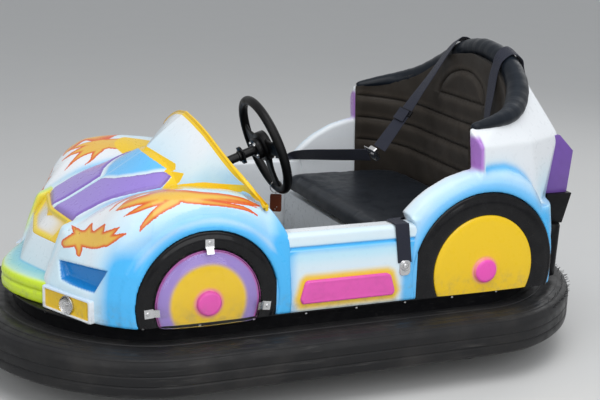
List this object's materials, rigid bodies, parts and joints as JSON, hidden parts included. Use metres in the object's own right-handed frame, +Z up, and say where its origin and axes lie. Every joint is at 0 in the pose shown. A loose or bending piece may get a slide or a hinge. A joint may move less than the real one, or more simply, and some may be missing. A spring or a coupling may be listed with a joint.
{
  "type": "bumper car",
  "caption": "Two-seat battery bumper car with an airbrushed moulded body, rubber ring, sham wheels, wraparound seat with belts and a steered drive wheel.",
  "frame": {"origin": "on the ground under the middle of the rubber ring", "axes": "+X towards the nose, +Y towards the driver's left, +Z up"},
  "size_m": [1.95, 1.156, 0.9543],
  "materials": {
    "ring_rubber": "worn matt",
    "black_steel": "satin",
    "grey_steel": "satin",
    "wheel_rubber": "matt",
    "black_plastic": "satin",
    "painted_shell": "gloss, airbrushed",
    "lime_shell": "gloss",
    "yellow_shell": "gloss",
    "clear_plastic": "clear",
    "pink_shell": "gloss",
    "seat_vinyl": "grained vinyl",
    "purple_shell": "gloss",
    "black_gloss": "gloss",
    "brown_plastic": "gloss",
    "belt_webbing": "woven",
    "bright_metal": "bright"
  },
  "bodies": {
    "base": {"bumper_ring": "ring_rubber", "chassis_pan": "black_steel", "steering_tower": "black_steel", "rear_bracket_left": "grey_steel", "rear_bracket_right": "grey_steel", "battery_box": "black_plastic", "front_body": "painted_shell", "cowl": "painted_shell", "nose_lip": "lime_shell", "grille_panel": "yellow_shell", "lamp_frames": "painted_shell", "lamp_lenses": "clear_plastic", "sills": "painted_shell", "side_panels": "pink_shell", "rear_body": "painted_shell", "seat_riser": "painted_shell", "seat_cushion": "seat_vinyl", "seat_back": "seat_vinyl", "seat_roll": "seat_vinyl", "tail_lamps": "purple_shell", "tail_bar": "black_plastic", "tail_posts": "black_plastic", "front_tyres": "black_gloss", "front_discs": "yellow_shell", "front_domes": "clear_plastic", "rear_tyres": "black_gloss", "rear_discs": "yellow_shell", "pedal": "grey_steel", "belt_left": "belt_webbing", "belt_right": "belt_webbing", "belt_buckle": "bright_metal", "belt_anchors": "bright_metal"},
    "steering": {"steering_wheel": "black_plastic", "steering_column": "black_plastic", "key_tag": "brown_plastic"},
    "fork": {"drive_fork": "grey_steel"},
    "drive_wheel": {"drive_wheel": "wheel_rubber"},
    "rear_wheel_left": {"rear_wheel_left": "wheel_rubber"},
    "rear_wheel_right": {"rear_wheel_right": "wheel_rubber"}
  },
  "joints": [
    {"name": "steering_turn", "type": "hinge", "parent": "base", "child": "steering", "pos_m": [0.064, 0, 0.635], "axis": [-0.9397, 0, 0.342], "range_deg": [-120, 120]},
    {"name": "fork_turn", "type": "hinge", "parent": "base", "child": "fork", "pos_m": [0.4, 0, 0.17], "axis": [0, 0, 1], "range_deg": [-62, 62]},
    {"name": "drive_spin", "type": "hinge", "parent": "fork", "child": "drive_wheel", "pos_m": [0.4, 0, 0.075], "axis": [0, 1, 0], "continuous": true},
    {"name": "rear_spin_left", "type": "hinge", "parent": "base", "child": "rear_wheel_left", "pos_m": [-0.49, 0.366, 0.085], "axis": [0, 1, 0], "continuous": true},
    {"name": "rear_spin_right", "type": "hinge", "parent": "base", "child": "rear_wheel_right", "pos_m": [-0.49, -0.366, 0.085], "axis": [0, 1, 0], "continuous": true}
  ],
  "couplings": [
    {"joint": "fork_turn", "follows": "steering_turn", "ratio": 0.5}
  ]
}
